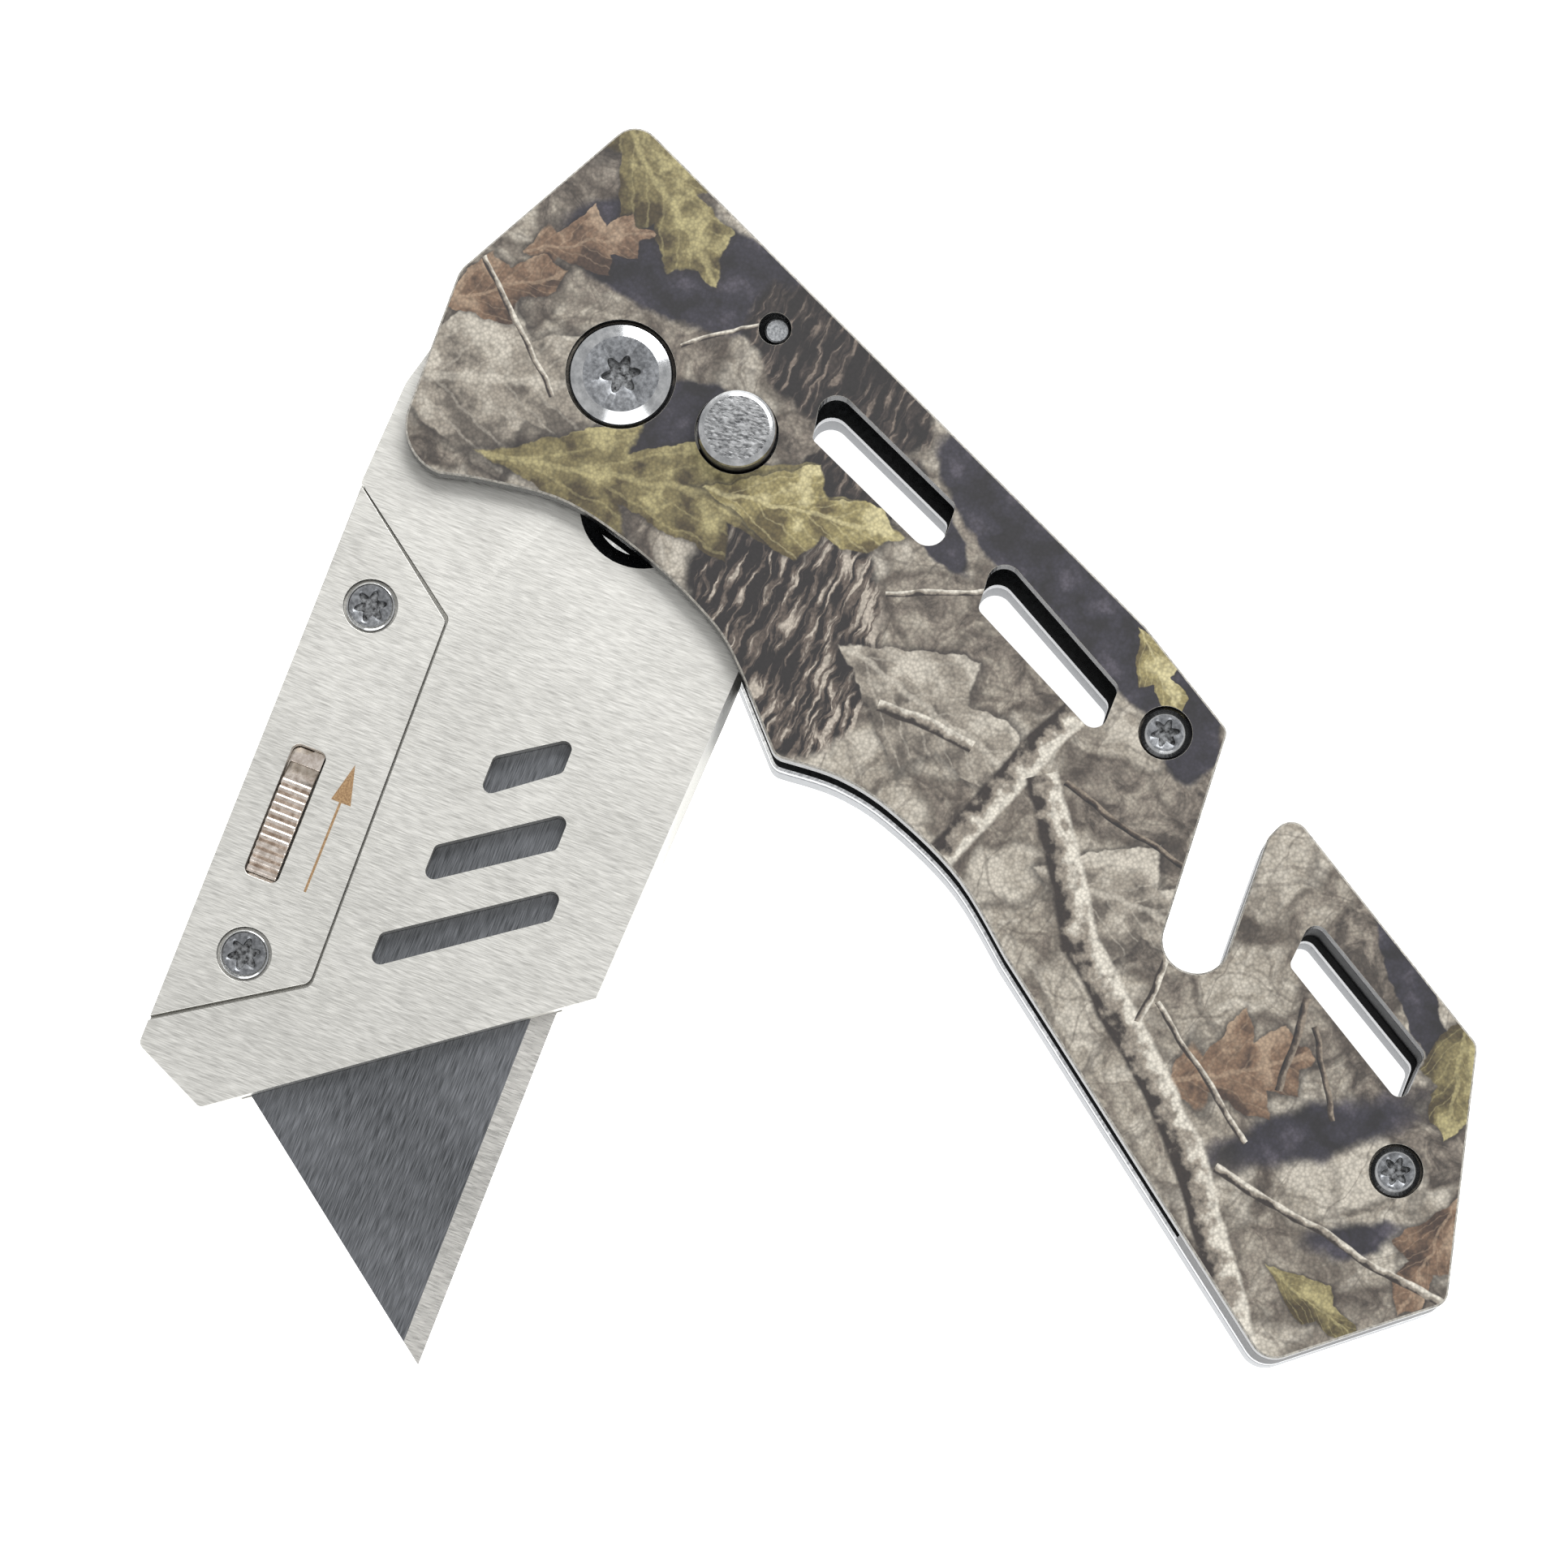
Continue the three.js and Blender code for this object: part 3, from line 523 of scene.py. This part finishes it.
# %% Inks, gaps and bark
PRINT_LEVEL = 1.07
KHAKI = ("#433924", "#736946", "#a59b6f")
YELLOW = ("#594e30", "#8d8256", "#c2b88c")
RUST = ("#43332a", "#735b48", "#9c8670")
GREY = ("#5d564e", "#8f877b", "#bab3a6")
PALE_BARK = ("#2b2421", "#8d8478", "#d0cabd")
DARK_BARK = ("#171415", "#40362f", "#85796b")
NIGHT = ("#1b191e", "#2b2933", "#4a4650")
CRACKED = ("#1d191a", "#5b5048", "#b0a699")
SHADED_BARK = ("#1b1718", "#38302d", "#75695f")
SOFT_GAPS = [
    ((75.5, 5.6), 66, 8.8, 2.0),
    ((83.4, 3.0), 60, 4.0, 1.2),
]
GAPS = [
    ((-3.5, 8.5), 30, 9.5, 4.0),
    ((1.5, 11.8), 20, 6.5, 3.4),
    ((5.2, 1.2), 60, 5.0, 2.8),
    ((27.8, 16.0), 2, 9.5, 3.0),
    ((37.0, 16.6), -4, 8.0, 2.6),
    ((46.0, 17.2), -40, 5.0, 2.4),
    ((20.5, 11.0), 0, 7.0, 1.7),
    ((72.0, 17.6), -18, 6.5, 1.4),
]
BARKS = [
    ((9.5, 13.2), 12, 8.5, 4.6, SHADED_BARK, -0.02),
    ((17.5, 8.6), 60, 5.5, 3.4, SHADED_BARK, -0.02),
    ((21.8, -1.8), -38, 10.5, 7.4, CRACKED, 0.06),
]
print("gaps:", len(GAPS + SOFT_GAPS), "bark patches:", len(BARKS))

# %% [markdown]
# ## Where the leaves and branches lie
# Leaves are laid in the order of the list, so a later one covers an earlier one. After its place,
# a leaf has its number of lobes from base to tip and its inks. A branch has its path, its half
# width and its inks.

# %% Leaves and branches
LEAVES = [
    ((-5.2, -7.4), 48, 9.5, 7.4, 2, GREY),
    ((34.0, 2.6), 15, 8.5, 5.0, 2, GREY),
    ((54.0, 5.2), 30, 7.5, 5.0, 2, GREY),
    ((-9.0, 11.0), -8, 8.4, 4.6, 3, KHAKI),
    ((-9.2, 4.4), 60, 5.0, 2.8, 3, RUST),
    ((-10.6, -3.0), 66, 5.2, 2.9, 2, RUST),
    ((9.6, -1.6), 42, 15.6, 5.2, 4, KHAKI),
    ((16.4, 4.2), 38, 7.6, 3.6, 2, YELLOW),
    ((41.9, 17.6), -12, 3.6, 1.9, 2, YELLOW),
    ((68.6, 4.2), 62, 5.6, 4.4, 3, RUST),
    ((78.4, 16.4), -50, 5.2, 2.9, 2, KHAKI),
    ((87.6, 6.4), -66, 5.0, 2.6, 2, RUST),
    ((85.2, -2.4), 12, 4.4, 1.8, 2, KHAKI),
]
BRANCHES = [
    ([(40.3, 11.6), (42.4, -3.4)], 1.25, PALE_BARK),
    ([(42.9, 6.0), (54.0, 0.7), (70.5, -2.6), (85.0, -8.6)], 1.3, PALE_BARK),
    ([(31.2, -0.1), (37.6, 3.4)], 0.5, PALE_BARK),
    ([(44.2, 7.2), (54.9, 10.0)], 0.24, DARK_BARK),
    ([(57.8, 5.8), (61.2, 0.2)], 0.28, PALE_BARK),
    ([(60.7, 2.2), (72.8, 1.0)], 0.24, PALE_BARK),
    ([(73.0, -1.8), (91.0, 4.8)], 0.34, PALE_BARK),
    ([(67.4, 11.2), (71.2, 5.4)], 0.3, DARK_BARK),
    ([(69.2, 10.2), (75.6, 7.2)], 0.24, DARK_BARK),
    ([(25.0, 5.3), (29.2, 11.2)], 0.24, PALE_BARK),
    ([(-13.0, -2.5), (-1.8, -5.0)], 0.22, PALE_BARK),
    ([(1.0, 4.8), (4.2, 12.2)], 0.18, PALE_BARK),
]
print("leaves:", len(LEAVES), "branches:", len(BRANCHES))

# %% [markdown]
# ## The film, printed and laminated
# The layers are pressed one over another. The film is then printed in fine dots and laminated with
# a satin skin, so the dots darken the ink a little and also show in the gloss. The dots are drawn a
# quarter of a millimetre apart, coarser than the true screen, so that they show.


# %% Layers of the print
def all_layers(tree, flat):
    torn = wander(tree, flat, 0.5, 1.5, 4.0)
    ragged = wander(tree, flat, 0.25, 3.4, 5.0)
    swayed = wander(tree, flat, 0.16, 1.5, 3.0)
    coarse = add(tree, "ShaderNodeTexNoise", inputs={"Vector": torn, "Scale": 0.42, "Detail": 8.0})
    fine = add(tree, "ShaderNodeTexNoise", inputs={"Vector": flat, "Scale": 0.9, "Detail": 6.0})
    tone = leaf_litter(tree, flat)
    for place in GAPS:
        tone = press(tree, gap, torn, coarse, tone, *place, NIGHT, CRISP)
    for place in SOFT_GAPS:
        tone = press(tree, gap, ragged, coarse, tone, *place, NIGHT, BLURRED)
    ridges = bark_ridges(tree, torn)
    for place in BARKS:
        tone = press(tree, bark, ragged, ridges, tone, *place)
    for *place, lobes, tones in LEAVES:
        tone = press(tree, leaf, torn, coarse, tone, *place, tones, 1 / lobes)
    for path, half_mm, tones in BRANCHES:
        tone = grow_branch(tree, swayed, fine, tone, path, half_mm, tones)
    return tone


CRISP = 0.14
BLURRED = 0.6
DOTS_PER_MM = 4.0
print("layers ready")

# %% [markdown]
# ## The finished film
# The dots multiply the ink, and the same dots set the gloss and a very shallow relief, so a glance
# of light shows the screen. A thin clear coat is the laminate.


# %% Printed film
def woodland_print():
    material, tree, bsdf = new_material("satin_woodland_print_film", IOR=1.46, Coat_Weight=0.12)
    flat = millimetres(tree)
    tone = all_layers(tree, flat)
    screen = {"Vector": flat, "Scale": DOTS_PER_MM}
    dots = add(tree, "ShaderNodeTexVoronoi", {"feature": "F1"}, screen)
    ink = add(tree, "ShaderNodeMath", TIMES_PLUS, {0: dots, 1: -0.6, 2: PRINT_LEVEL})
    inked = add(tree, "ShaderNodeVectorMath", {"operation": "SCALE"}, {0: tone, "Scale": ink})
    gloss = add(tree, "ShaderNodeMapRange", inputs={"Value": dots, "To Min": 0.4, "To Max": 0.5})
    skin = {"Height": dots, "Strength": 0.12, "Distance": 0.01 * MM}
    relief = add(tree, "ShaderNodeBump", inputs=skin)
    for socket, node in (("Base Color", inked), ("Roughness", gloss), ("Normal", relief)):
        tree.links.new(node.outputs[0], bsdf.inputs[socket])
    return material


camo = woodland_print()
print("print nodes:", len(camo.node_tree.nodes))

# %% [markdown]
# ## Copying a node and handing a piece over
# Every finished piece starts from its CAD node's shape or stands in its place, and ends the same
# way: materials on the mesh, sharp where faces meet at an angle, riding its body and replacing the
# plain node. One function does that ending for every piece but the arrow, which replaces nothing.


# %% Hand-over
def hand_over(shape, name, ending, body, materials, sharp_degrees):
    mesh = bpy.data.meshes.new(name + ending)
    shape.to_mesh(mesh)
    shape.free()
    for material in materials:
        mesh.materials.append(material)
    mesh.set_sharp_from_angle(angle=math.radians(sharp_degrees))
    piece = bpy.data.objects.new(name + ending, mesh)
    bpy.context.collection.objects.link(piece)
    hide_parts(name)
    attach(piece, body)
    print(name, "faces:", len(mesh.polygons))
    return piece


print("hand-over ready")

# %% [markdown]
# ## Flat pieces with broken edges
# Sheet pieces are cut, then tumbled, which leaves a small round on every outer edge. That round is
# what catches light, so it matters more than its size. The copy's loose triangles are merged, its
# flat faces are made one again, and only its outward edges are bevelled, so nothing grows. A bevel
# modifier would also do, but here the mesh lists its own faces, so each can be given its own
# finish by the way it points.


# %% Edge breaking
def break_edges(name, body, materials, choose, width_mm, sharp=28):
    shape = bmesh.new()
    shape.from_mesh(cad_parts[name].data)
    bmesh.ops.remove_doubles(shape, verts=shape.verts, dist=0.002 * MM)
    bmesh.ops.dissolve_limit(
        shape, angle_limit=math.radians(0.6), verts=shape.verts, edges=shape.edges
    )
    if width_mm:
        shape.normal_update()
        corners = [e for e in shape.edges if e.is_manifold and e.is_convex]
        edges = [e for e in corners if e.calc_face_angle(0) > math.radians(sharp)]
        bmesh.ops.bevel(
            shape,
            geom=edges,
            offset=width_mm * MM,
            offset_type="OFFSET",
            segments=2,
            profile=0.5,
            material=-1,
            affect="EDGES",
            clamp_overlap=True,
        )
    bmesh.ops.triangulate(shape, faces=[f for f in shape.faces if len(f.verts) > 4])
    shape.normal_update()
    for face in shape.faces:
        face.material_index = choose(face.normal, face.calc_center_median() / MM)
        face.smooth = True
    return hand_over(shape, name, "_finished", body, materials, 8)


def plain(normal, centre):
    return 0


print("edge breaking ready")

# %% [markdown]
# ## The handle's plates and spacers
# The front plate is printed on its face only. Its sides are black, with a thin pale line where the
# film ends at the edge. The liner is steel that shows bright at its cut edges and is black
# inside. The back plate is satin metal, and the spacers are moulded nylon. Each face is given its
# finish by how far it looks up.


# %% Front plate, liner, back plate and spacers
def front_finish(normal, centre):
    if normal.z > 0.93:
        return 0
    return 1 if normal.z > 0.35 else 2


def liner_finish(normal, centre):
    return 1 if abs(normal.z) > 0.95 else 0


front_films = [camo, film_edge, black_coat]
break_edges("front_scale", "handle", front_films, front_finish, 0.05)
liner_faces = [liner_edge, black_coat]
break_edges("back_liner", "handle", liner_faces, liner_finish, 0.06)
break_edges("back_scale", "handle", [back_metal], plain, 0.08)
break_edges("spine_spacer", "handle", [black_plastic], plain, 0.12)
break_edges("butt_spacer", "handle", [black_plastic], plain, 0.12)

# %% [markdown]
# ## The carrier and its cover
# The carrier's front face is brushed. The walls of the lock pocket beside the pivot are given the
# black coat as painted shade, for the shadow that fills that deep recess round the button's disc.
# The pocket is found by its distance from its centre, with the carrier turned back straight.


# %% Carrier and cover plate
def carrier_finish_with_pocket_shade(normal, centre):
    straight = Matrix.Rotation(-CARRIER_TURN, 3, "Z") @ centre
    off_centre = math.hypot(straight.x - LOCK_POCKET[0], straight.y - LOCK_POCKET[1])
    # painted shade: the pocket's walls, not its flat floor, get the black coat for the shadow in
    # that recess
    return 1 if off_centre < LOCK_POCKET_REACH and normal.z < 0.95 else 0


LOCK_POCKET = (8.25, 4.97)
LOCK_POCKET_REACH = 4.95
# the black coat here is painted shade on the lock pocket's walls
carrier_steel_and_pocket_shade = [carrier_steel, black_coat]
break_edges("blade_carrier", "carrier", carrier_steel_and_pocket_shade, carrier_finish_with_pocket_shade, 0.08)
break_edges("cover_plate", "carrier", [carrier_steel], plain, 0.07)

# %% [markdown]
# ## The blade and what holds it
# The blade is dark from its grind, with a narrow bright band where the edge was honed, and that
# band is the only face that leans a little. It stays sharp, so it gets no bevel. The slider is
# plated, and its ribs stay crisp. The latch is spring steel.


# %% Blade, slider and latch
def blade_finish(normal, centre):
    return 1 if 0.9 < abs(normal.z) < 0.995 else 0


blade_faces = [blade_steel, honed_edge]
break_edges("utility_blade", "carrier", blade_faces, blade_finish, 0)
break_edges("release_slider", "slider", [nickel], plain, 0.09, sharp=40)
break_edges("blade_latch", "latch", [spring_wire], plain, 0.05)

# %% [markdown]
# ## Turned pieces
# A screw or a button is cut on a lathe, so a ring of points grown step by step along the axis is
# the closest match. Each step extrudes the last ring and seats it at the next radius and height. A
# star-drive socket is one more step whose ring is pulled into six lobes. A step is a radius, a
# height and whether it is lobed.


# %% Lathe
def seat(ring, angles, centre, radius, height, lobed):
    for v in ring:
        pull = 0.79 + 0.21 * math.cos(6 * angles[v]) if lobed else 1.0
        v.co.x = (centre[0] + radius * pull * math.cos(angles[v])) * MM
        v.co.y = (centre[1] + radius * pull * math.sin(angles[v])) * MM
        v.co.z = height * MM


def lathe(name, body, centre, steps, materials, finishes):
    shape = bmesh.new()
    made = bmesh.ops.create_circle(shape, cap_ends=False, segments=96, radius=1.0)
    ring = made["verts"]
    angles = {v: math.atan2(v.co.y, v.co.x) for v in ring}
    seat(ring, angles, centre, *steps[0])
    edges = list(shape.edges)
    bmesh.ops.edgeloop_fill(shape, edges=edges)
    for finish, step in zip(finishes, steps[1:]):
        out = bmesh.ops.extrude_edge_only(shape, edges=edges)["geom"]
        grown_ring = {g for g in out if isinstance(g, bmesh.types.BMVert)}
        for v in grown_ring:
            near = min(ring, key=lambda w: (w.co.xy - v.co.xy).length)
            angles[v] = angles[near]
        new_edges = [g for g in out if isinstance(g, bmesh.types.BMEdge)]
        edges = [e for e in new_edges if grown_ring.issuperset(e.verts)]
        seat(grown_ring, angles, centre, *step)
        ring = grown_ring
        for face in out:
            if isinstance(face, bmesh.types.BMFace):
                face.material_index = finish
    bmesh.ops.edgeloop_fill(shape, edges=edges)
    shape.faces.ensure_lookup_table()
    shape.faces[-1].material_index = finishes[-1]
    bmesh.ops.recalc_face_normals(shape, faces=shape.faces)
    for face in shape.faces:
        face.smooth = True
    return hand_over(shape, name, "_turned", body, materials, 12)


print("lathe ready")

# %% [markdown]
# ## Star-drive screws
# All five screws are one shape in three sizes: a shank, a flat-bottomed head with a bevelled and
# polished rim, and a six-lobed socket. The pivot screw has the widest rim, which shows as a bright
# ring round a duller disc.


# %% Screws
def star_screw(name, body, centre, shank, bottom, under, head, top, edge, rim, socket, deep):
    steps = [
        (shank, bottom, False),
        (shank, under, False),
        (head, under, False),
        (head, top - edge, False),
        (head - 0.12, top - edge * 0.7, False),
        (head - rim, top, False),
        (socket * 1.12, top, False),
        (socket * 1.03, top - 0.05, True),
        (socket, top - 0.1, True),
        (socket * 0.92, top - deep, True),
    ]
    finishes = [0, 0, 0, 1, 1, 0, 0, 2, 2, 2]
    materials = [screw_steel, polished_rim, socket_steel]
    return lathe(name, body, centre, steps, materials, finishes)


def on_carrier(u, v):
    place = Matrix.Rotation(CARRIER_TURN, 2) @ Vector((u, v))
    return (place.x, place.y)


BODY_SCREW = {"shank": 1.0, "bottom": 1.0, "under": 10.9, "head": 1.8, "top": 11.95}
BODY_SCREW.update({"edge": 0.35, "rim": 0.45, "socket": 1.05, "deep": 0.7})
COVER_SCREW = {"shank": 0.9, "bottom": 6.4, "under": 8.75, "head": 1.8, "top": 9.57}
COVER_SCREW.update({"edge": 0.2, "rim": 0.22, "socket": 1.2, "deep": 0.5})
PIVOT_SCREW = {"shank": 1.5, "bottom": 3.0, "under": 10.9, "head": 3.85, "top": 12.1}
PIVOT_SCREW.update({"edge": 0.45, "rim": 1.02, "socket": 1.45, "deep": 0.9})
star_screw("pivot_screw", "handle", (0, 0), **PIVOT_SCREW)
star_screw("body_screw_upper", "handle", (45.66, 15.15), **BODY_SCREW)
star_screw("body_screw_butt", "handle", (81.31, 8.41), **BODY_SCREW)
star_screw("cover_screw_upper", "carrier", on_carrier(22.49, -11.06), **COVER_SCREW)
star_screw("cover_screw_lower", "carrier", on_carrier(49.87, -10.2), **COVER_SCREW)

# %% [markdown]
# ## The lock button and the stop pin
# The button is a disc that locks the carrier, a thin neck and a round cap whose rim is polished
# and whose face is scuffed. The stop pin is a plain ground pin with a rounded end.

# %% Button and pin
BUTTON = (8.71, 4.05)
BUTTON_STEPS = [
    (3.45, 3.2, False),
    (3.45, 5.3, False),
    (1.5, 5.3, False),
    (1.5, 11.15, False),
    (2.9, 11.15, False),
    (2.9, 13.75, False),
    (2.82, 13.98, False),
    (2.62, 14.15, False),
    (2.4, 14.2, False),
]
button_metals = [screw_steel, polished_rim, button_face]
button_rings = [0, 0, 0, 0, 0, 1, 1, 1, 2]
lathe("lock_button", "button", BUTTON, BUTTON_STEPS, button_metals, button_rings)
PIN_STEPS = [(1.0, 1.0, False), (1.0, 10.8, False), (0.93, 10.95, False), (0.8, 11.0, False)]
lathe("stop_pin", "handle", (4.38, 11.25), PIN_STEPS, [spring_wire], [0, 0, 0, 0])

# %% [markdown]
# ## Hidden pins, washers and springs
# The pivot barrel and its bronze washers, the latch's pin and the slider's spring keep their CAD
# shape. The wire of a spring is round already, so it gets no bevel. The spring under the button
# shortens from 2.3 mm to 0.9 mm when the button is pushed; here it rides the handle with a mesh of
# its own.

# %% Pins, washers and springs
for node_name, body, slot, finish, width_mm in (
    ("pivot_barrel", "handle", "screw_steel", screw_steel, 0.04),
    ("front_washer", "handle", "bronze", washer_bronze, 0.04),
    ("back_washer", "handle", "bronze", washer_bronze, 0.04),
    ("latch_pin", "carrier", "spring_steel", spring_wire, 0.04),
    ("slider_spring", "carrier", "spring_steel", spring_wire, 0),
):
    break_edges(node_name, body, [finish], plain, width_mm)

button_coil = break_edges("button_spring", "handle", [spring_wire], plain, 0)
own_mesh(button_coil)
print("pins, washers and springs made")

# %% [markdown]
# ## The release arrow
# A laser marks a thin brown arrow on the cover to show which way the slider goes. It is only an
# oxide film, so it is made as a thin sheet a hundredth of a millimetre above the steel.


# %% Arrow
def flat_sheet(shape, corners):
    placed = [on_carrier(u, v) for u, v in corners]
    points = [shape.verts.new((x * MM, y * MM, ARROW_HEIGHT * MM)) for x, y in placed]
    shape.faces.new(points)


ARROW_HEIGHT = 9.61
arrow = bmesh.new()
flat_sheet(arrow, [(44.0, -7.84), (44.0, -7.66), (36.9, -7.66), (36.9, -7.84)])
flat_sheet(arrow, [(36.9, -8.48), (36.9, -6.94), (33.9, -7.75)])
arrow.normal_update()
bmesh.ops.reverse_faces(arrow, faces=[f for f in arrow.faces if f.normal.z < 0])
bmesh.ops.solidify(arrow, geom=arrow.faces[:], thickness=0.006 * MM)
arrow_mesh = bpy.data.meshes.new("release_arrow")
arrow.to_mesh(arrow_mesh)
arrow.free()
arrow_mesh.materials.append(engraved)
arrow_piece = bpy.data.objects.new("release_arrow", arrow_mesh)
bpy.context.collection.objects.link(arrow_piece)
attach(arrow_piece, "carrier")
print("arrow faces:", len(arrow_mesh.polygons))

# %% [markdown]
# ## Floor
# The knife lies on a pale backlit sheet, so steel has something bright to reflect, shadows stay
# faint, and the slots show bright from above. It lies a hair below the back plate, so the two
# faces never share a plane.

# %% Backlit sheet
sheet_material = new_material(
    "backlit_opal_sheet",
    Base_Color=linear("#f7f7f6"),
    Roughness=0.95,
    Emission_Color=(1, 1, 1, 1),
    Emission_Strength=1.0,
)[0]
card = bmesh.new()
bmesh.ops.create_grid(card, x_segments=1, y_segments=1, size=3.0)
bmesh.ops.translate(card, verts=card.verts, vec=(0.04, -0.02, -0.02 * MM))
card_mesh = bpy.data.meshes.new("floor_card")
card.to_mesh(card_mesh)
card.free()
card_mesh.materials.append(sheet_material)
floor = bpy.data.objects.new("floor_card", card_mesh)
bpy.context.collection.objects.link(floor)
print("floor laid")

# %% [markdown]
# ## Light
# An even white surround fills the shadows. A wide key light behind the spine and a weaker fill on
# the other side give the bevels their bright lines.


# %% Surround and soft lights
def soft_light(name, place, size, watts):
    lamp = bpy.data.lights.new(name, "AREA")
    lamp.shape = "RECTANGLE"
    lamp.size = size
    lamp.size_y = size
    lamp.energy = watts
    holder = bpy.data.objects.new(name, lamp)
    bpy.context.collection.objects.link(holder)
    holder.location = place
    toward = Vector(KNIFE_MIDDLE) - Vector(place)
    holder.rotation_euler = toward.to_track_quat("-Z", "Y").to_euler()
    return holder


KNIFE_MIDDLE = (0.035, -0.015, 0)
surround = bpy.data.worlds.new("studio")
bpy.context.scene.world = surround
surround.use_nodes = True
surround.node_tree.nodes["Background"].inputs["Color"].default_value = (1, 1, 1, 1)
surround.node_tree.nodes["Background"].inputs["Strength"].default_value = 0.66
bpy.context.scene.view_settings.view_transform = "Standard"
key_light = soft_light("key_softbox", (-0.25, 0.55, 0.75), 0.6, 8.0)
fill_light = soft_light("fill_softbox", (0.6, -0.35, 0.7), 0.7, 4.0)
print("lights placed")

# %% [markdown]
# ## Camera
# A long lens looks almost straight down, which keeps the shapes nearly without perspective, and
# its small tilt shows the lower edges of the plates. It is turned so that the handle runs down to
# the right.

# %% Camera and stage
camera_data = bpy.data.cameras.new("camera")
camera_data.lens = 191.07
camera_data.sensor_width = 36
camera_data.clip_start = 0.01
camera_data.clip_end = 20
camera = bpy.data.objects.new("camera", camera_data)
bpy.context.collection.objects.link(camera)
camera.location = (0.0895732, -0.0640593, 0.617)
camera.rotation_euler = [math.radians(a) for a in (7.489209, -0.698004, 52.0)]
bpy.context.scene.camera = camera
print("camera set")
